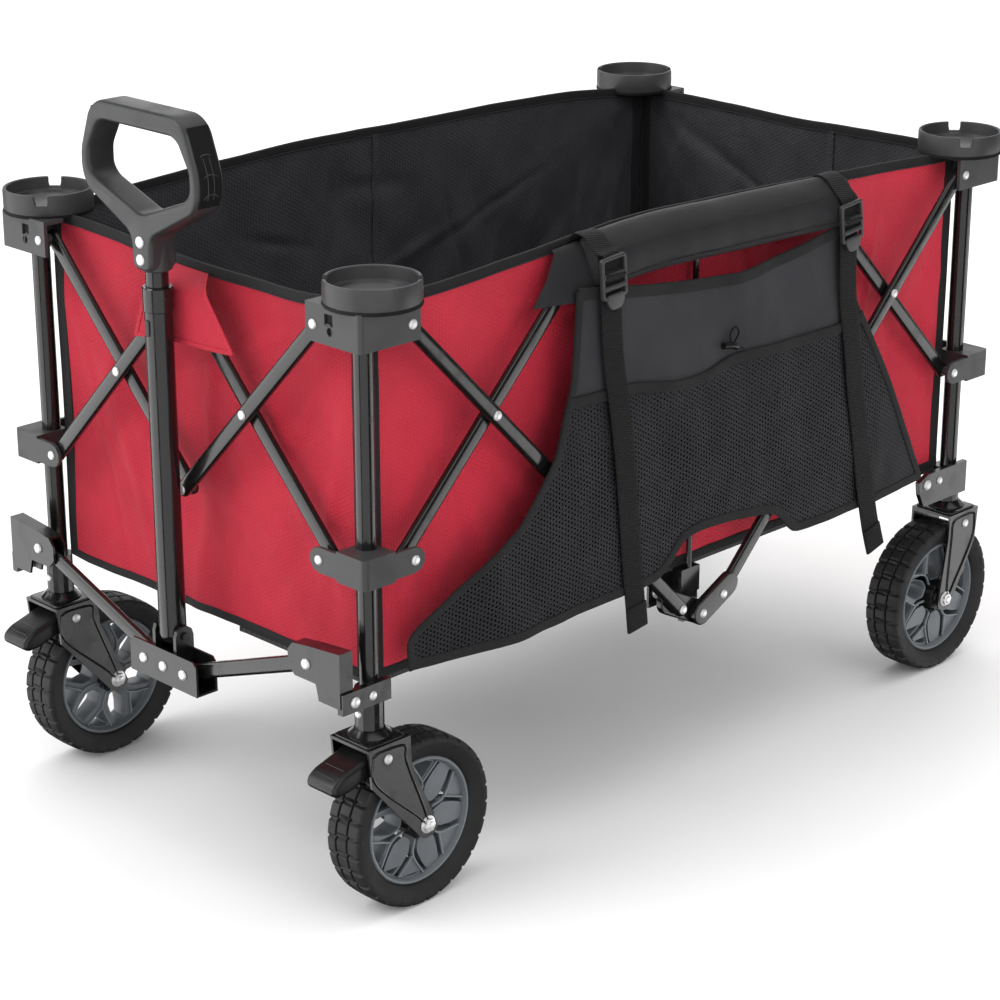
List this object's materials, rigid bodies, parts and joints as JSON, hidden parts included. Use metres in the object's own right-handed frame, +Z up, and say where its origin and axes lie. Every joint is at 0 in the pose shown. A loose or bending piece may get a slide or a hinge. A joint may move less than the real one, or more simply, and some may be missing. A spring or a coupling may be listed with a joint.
{
  "type": "folding utility wagon",
  "caption": "Folding utility wagon: fabric tub on a four-way scissor frame with swivel front casters, telescoping pull handle, corner cup dishes and a side pocket.",
  "frame": {"origin": "centre of the bounding box on the floor", "axes": "+Z up, -Y the handle end, +X the pocket side"},
  "size_m": [0.5754, 1.015, 0.754],
  "materials": {
    "post_steel": "gunmetal gloss",
    "bar_steel": "gunmetal gloss",
    "bracket_steel": "black powder coat, semi-gloss",
    "cap_plastic": "fine-textured moulded plastic",
    "grip_plastic": "fine-textured moulded plastic",
    "lever_plastic": "smooth moulded plastic",
    "tyre": "moulded rubber with block tread",
    "rim_plastic": "smooth moulded plastic",
    "panel_fabric": "coated honeycomb-weave polyester",
    "floor_fabric": "coated honeycomb-weave polyester",
    "pocket_fabric": "plain weave with mesh"
  },
  "bodies": {
    "frame_fl": {"post_fl": "post_steel", "cap_fl": "cap_plastic", "foot_fl": "bracket_steel", "panel_front": "panel_fabric", "panel_left": "panel_fabric", "floor_mat": "floor_fabric"},
    "frame_fr": {"post_fr": "post_steel", "cap_fr": "cap_plastic", "foot_fr": "bracket_steel", "panel_right": "panel_fabric", "side_pocket": "pocket_fabric"},
    "frame_rl": {"post_rl": "post_steel", "cap_rl": "cap_plastic", "foot_rl": "bracket_steel", "fork_rl": "bracket_steel", "panel_rear": "panel_fabric"},
    "frame_rr": {"post_rr": "post_steel", "cap_rr": "cap_plastic", "foot_rr": "bracket_steel", "fork_rr": "bracket_steel"},
    "front_long_l": {"front_long_l": "bar_steel"},
    "front_long_r": {"front_long_r": "bar_steel"},
    "front_short_l": {"front_short_l": "bar_steel"},
    "front_short_r": {"front_short_r": "bar_steel"},
    "rear_long_l": {"rear_long_l": "bar_steel"},
    "rear_long_r": {"rear_long_r": "bar_steel"},
    "rear_short_l": {"rear_short_l": "bar_steel"},
    "rear_short_r": {"rear_short_r": "bar_steel"},
    "left_long_f": {"left_long_f": "bar_steel"},
    "left_long_r": {"left_long_r": "bar_steel"},
    "left_short_f": {"left_short_f": "bar_steel"},
    "left_short_r": {"left_short_r": "bar_steel"},
    "right_long_f": {"right_long_f": "bar_steel"},
    "right_long_r": {"right_long_r": "bar_steel"},
    "right_short_f": {"right_short_f": "bar_steel"},
    "right_short_r": {"right_short_r": "bar_steel"},
    "side_post_l": {"side_post_l": "bracket_steel"},
    "side_post_r": {"side_post_r": "bracket_steel"},
    "front_link_l": {"front_link_l": "bar_steel"},
    "front_link_r": {"front_link_r": "bar_steel"},
    "handle_yoke": {"handle_yoke": "bracket_steel"},
    "clamp_fl": {"clamp_fl": "cap_plastic"},
    "clamp_fr": {"clamp_fr": "cap_plastic"},
    "clamp_rl": {"clamp_rl": "cap_plastic"},
    "clamp_rr": {"clamp_rr": "cap_plastic"},
    "handle_outer": {"handle_tube": "post_steel"},
    "handle_inner": {"handle_slider": "post_steel", "handle_grip": "grip_plastic"},
    "caster_fl": {"fork_fl": "bracket_steel"},
    "caster_fr": {"fork_fr": "bracket_steel"},
    "brake_fl": {"brake_lever_fl": "lever_plastic"},
    "brake_fr": {"brake_lever_fr": "lever_plastic"},
    "wheel_fl": {"tyre_fl": "tyre", "hub_fl": "rim_plastic"},
    "wheel_fr": {"tyre_fr": "tyre", "hub_fr": "rim_plastic"},
    "wheel_rl": {"tyre_rl": "tyre", "hub_rl": "rim_plastic"},
    "wheel_rr": {"tyre_rr": "tyre", "hub_rr": "rim_plastic"}
  },
  "joints": [
    {"name": "frame_fold", "type": "hinge", "parent": "frame_fl", "child": "front_long_l", "pos_m": [-0.207, -0.4575, 0.586], "axis": [0, 1, 0], "range_deg": [0, 31], "deforming": ["panel_front", "panel_rear", "panel_left", "panel_right", "floor_mat", "side_pocket"]},
    {"name": "front_hub", "type": "hinge", "parent": "front_long_l", "child": "front_long_r", "pos_m": [0, -0.4575, 0.37535], "axis": [0, -1, 0], "range_deg": [0, 62]},
    {"name": "front_top_fr", "type": "hinge", "parent": "front_long_r", "child": "frame_fr", "pos_m": [0.207, -0.4575, 0.586], "axis": [0, 1, 0], "range_deg": [0, 31]},
    {"name": "front_cross_l", "type": "hinge", "parent": "front_long_l", "child": "front_short_l", "pos_m": [-0.09626, -0.4575, 0.47331], "axis": [0, -1, 0], "range_deg": [0, 62]},
    {"name": "clamp_slide_fl", "type": "hinge", "parent": "front_short_l", "child": "clamp_fl", "pos_m": [-0.207, -0.4575, 0.36061], "axis": [0, 1, 0], "range_deg": [0, 31]},
    {"name": "front_cross_r", "type": "hinge", "parent": "front_long_r", "child": "front_short_r", "pos_m": [0.09626, -0.4575, 0.47331], "axis": [0, 1, 0], "range_deg": [0, 62]},
    {"name": "clamp_slide_fr", "type": "hinge", "parent": "front_short_r", "child": "clamp_fr", "pos_m": [0.207, -0.4575, 0.36061], "axis": [0, -1, 0], "range_deg": [0, 31]},
    {"name": "left_top_f", "type": "hinge", "parent": "frame_fl", "child": "left_long_f", "pos_m": [-0.257, -0.4075, 0.586], "axis": [-1, 0, 0], "range_deg": [0, 31]},
    {"name": "left_hub", "type": "hinge", "parent": "left_long_f", "child": "left_long_r", "pos_m": [-0.257, 0.0025, 0.188], "axis": [1, 0, 0], "range_deg": [0, 62]},
    {"name": "left_top_r", "type": "hinge", "parent": "left_long_r", "child": "frame_rl", "pos_m": [-0.257, 0.4125, 0.586], "axis": [-1, 0, 0], "range_deg": [0, 31]},
    {"name": "left_cross_f", "type": "hinge", "parent": "left_long_f", "child": "left_short_f", "pos_m": [-0.257, -0.29676, 0.47331], "axis": [1, 0, 0], "range_deg": [0, 62]},
    {"name": "left_cross_r", "type": "hinge", "parent": "left_long_r", "child": "left_short_r", "pos_m": [-0.257, 0.30176, 0.47331], "axis": [-1, 0, 0], "range_deg": [0, 62]},
    {"name": "clamp_slide_rl", "type": "hinge", "parent": "left_short_r", "child": "clamp_rl", "pos_m": [-0.257, 0.4125, 0.36061], "axis": [1, 0, 0], "range_deg": [0, 31]},
    {"name": "left_post_level", "type": "hinge", "parent": "left_long_f", "child": "side_post_l", "pos_m": [-0.257, 0.0025, 0.188], "axis": [1, 0, 0], "range_deg": [0, 31]},
    {"name": "right_top_f", "type": "hinge", "parent": "frame_fr", "child": "right_long_f", "pos_m": [0.257, -0.4075, 0.586], "axis": [-1, 0, 0], "range_deg": [0, 31]},
    {"name": "right_hub", "type": "hinge", "parent": "right_long_f", "child": "right_long_r", "pos_m": [0.257, 0.0025, 0.188], "axis": [1, 0, 0], "range_deg": [0, 62]},
    {"name": "right_top_r", "type": "hinge", "parent": "right_long_r", "child": "frame_rr", "pos_m": [0.257, 0.4125, 0.586], "axis": [-1, 0, 0], "range_deg": [0, 31]},
    {"name": "right_cross_f", "type": "hinge", "parent": "right_long_f", "child": "right_short_f", "pos_m": [0.257, -0.29676, 0.47331], "axis": [1, 0, 0], "range_deg": [0, 62]},
    {"name": "right_cross_r", "type": "hinge", "parent": "right_long_r", "child": "right_short_r", "pos_m": [0.257, 0.30176, 0.47331], "axis": [-1, 0, 0], "range_deg": [0, 62]},
    {"name": "clamp_slide_rr", "type": "hinge", "parent": "right_short_r", "child": "clamp_rr", "pos_m": [0.257, 0.4125, 0.36061], "axis": [1, 0, 0], "range_deg": [0, 31]},
    {"name": "right_post_level", "type": "hinge", "parent": "right_long_f", "child": "side_post_r", "pos_m": [0.257, 0.0025, 0.188], "axis": [1, 0, 0], "range_deg": [0, 31]},
    {"name": "rear_top_l", "type": "hinge", "parent": "frame_rl", "child": "rear_long_l", "pos_m": [-0.207, 0.4625, 0.586], "axis": [0, 1, 0], "range_deg": [0, 31]},
    {"name": "rear_top_r", "type": "hinge", "parent": "frame_rr", "child": "rear_long_r", "pos_m": [0.207, 0.4625, 0.586], "axis": [0, -1, 0], "range_deg": [0, 31]},
    {"name": "rear_cross_l", "type": "hinge", "parent": "rear_long_l", "child": "rear_short_l", "pos_m": [-0.09626, 0.4625, 0.47331], "axis": [0, -1, 0], "range_deg": [0, 62]},
    {"name": "rear_cross_r", "type": "hinge", "parent": "rear_long_r", "child": "rear_short_r", "pos_m": [0.09626, 0.4625, 0.47331], "axis": [0, 1, 0], "range_deg": [0, 62]},
    {"name": "link_bolt_l", "type": "hinge", "parent": "frame_fl", "child": "front_link_l", "pos_m": [-0.21, -0.483, 0.264], "axis": [0, 1, 0], "range_deg": [0, 57.63]},
    {"name": "yoke_pin_l", "type": "hinge", "parent": "front_link_l", "child": "handle_yoke", "pos_m": [-0.031, -0.483, 0.199], "axis": [0, -1, 0], "range_deg": [0, 57.63]},
    {"name": "yoke_pin_r", "type": "hinge", "parent": "handle_yoke", "child": "front_link_r", "pos_m": [0.031, -0.483, 0.199], "axis": [0, -1, 0], "range_deg": [0, 57.63]},
    {"name": "handle_tilt", "type": "hinge", "parent": "handle_yoke", "child": "handle_outer", "pos_m": [0, -0.4835, 0.232], "axis": [1, 0, 0], "range_deg": [0, 80]},
    {"name": "handle_extend", "type": "slide", "parent": "handle_outer", "child": "handle_inner", "axis": [0, 0, 1], "range_m": [0, 0.23]},
    {"name": "caster_swivel_fl", "type": "hinge", "parent": "frame_fl", "child": "caster_fl", "pos_m": [-0.243, -0.4435, 0.19], "axis": [0, 0, 1], "continuous": true},
    {"name": "brake_press_fl", "type": "hinge", "parent": "caster_fl", "child": "brake_fl", "pos_m": [-0.243, -0.4455, 0.172], "axis": [1, 0, 0], "range_deg": [0, 8]},
    {"name": "wheel_spin_fl", "type": "hinge", "parent": "caster_fl", "child": "wheel_fl", "pos_m": [-0.243, -0.3955, 0.087], "axis": [1, 0, 0], "continuous": true},
    {"name": "caster_swivel_fr", "type": "hinge", "parent": "frame_fr", "child": "caster_fr", "pos_m": [0.243, -0.4435, 0.19], "axis": [0, 0, 1], "continuous": true},
    {"name": "brake_press_fr", "type": "hinge", "parent": "caster_fr", "child": "brake_fr", "pos_m": [0.243, -0.4455, 0.172], "axis": [1, 0, 0], "range_deg": [0, 8]},
    {"name": "wheel_spin_fr", "type": "hinge", "parent": "caster_fr", "child": "wheel_fr", "pos_m": [0.243, -0.3955, 0.087], "axis": [1, 0, 0], "continuous": true},
    {"name": "wheel_spin_rl", "type": "hinge", "parent": "frame_rl", "child": "wheel_rl", "pos_m": [-0.243, 0.4205, 0.087], "axis": [1, 0, 0], "continuous": true},
    {"name": "wheel_spin_rr", "type": "hinge", "parent": "frame_rr", "child": "wheel_rr", "pos_m": [0.243, 0.4205, 0.087], "axis": [1, 0, 0], "continuous": true}
  ],
  "couplings": [
    {"joint": "front_hub", "follows": "frame_fold", "ratio": 2},
    {"joint": "front_top_fr", "follows": "frame_fold", "ratio": 1},
    {"joint": "front_cross_l", "follows": "frame_fold", "ratio": 2},
    {"joint": "clamp_slide_fl", "follows": "frame_fold", "ratio": 1},
    {"joint": "front_cross_r", "follows": "frame_fold", "ratio": 2},
    {"joint": "clamp_slide_fr", "follows": "frame_fold", "ratio": 1},
    {"joint": "left_top_f", "follows": "frame_fold", "ratio": 1},
    {"joint": "left_hub", "follows": "frame_fold", "ratio": 2},
    {"joint": "left_top_r", "follows": "frame_fold", "ratio": 1},
    {"joint": "left_cross_f", "follows": "frame_fold", "ratio": 2},
    {"joint": "left_cross_r", "follows": "frame_fold", "ratio": 2},
    {"joint": "clamp_slide_rl", "follows": "frame_fold", "ratio": 1},
    {"joint": "left_post_level", "follows": "frame_fold", "ratio": 1},
    {"joint": "right_top_f", "follows": "frame_fold", "ratio": 1},
    {"joint": "right_hub", "follows": "frame_fold", "ratio": 2},
    {"joint": "right_top_r", "follows": "frame_fold", "ratio": 1},
    {"joint": "right_cross_f", "follows": "frame_fold", "ratio": 2},
    {"joint": "right_cross_r", "follows": "frame_fold", "ratio": 2},
    {"joint": "clamp_slide_rr", "follows": "frame_fold", "ratio": 1},
    {"joint": "right_post_level", "follows": "frame_fold", "ratio": 1},
    {"joint": "rear_top_l", "follows": "frame_fold", "ratio": 1},
    {"joint": "rear_top_r", "follows": "frame_fold", "ratio": 1},
    {"joint": "rear_cross_l", "follows": "frame_fold", "ratio": 2},
    {"joint": "rear_cross_r", "follows": "frame_fold", "ratio": 2},
    {"joint": "link_bolt_l", "follows": "frame_fold", "ratio": 1.8589},
    {"joint": "yoke_pin_l", "follows": "frame_fold", "ratio": 1.8589},
    {"joint": "yoke_pin_r", "follows": "frame_fold", "ratio": 1.8589}
  ]
}
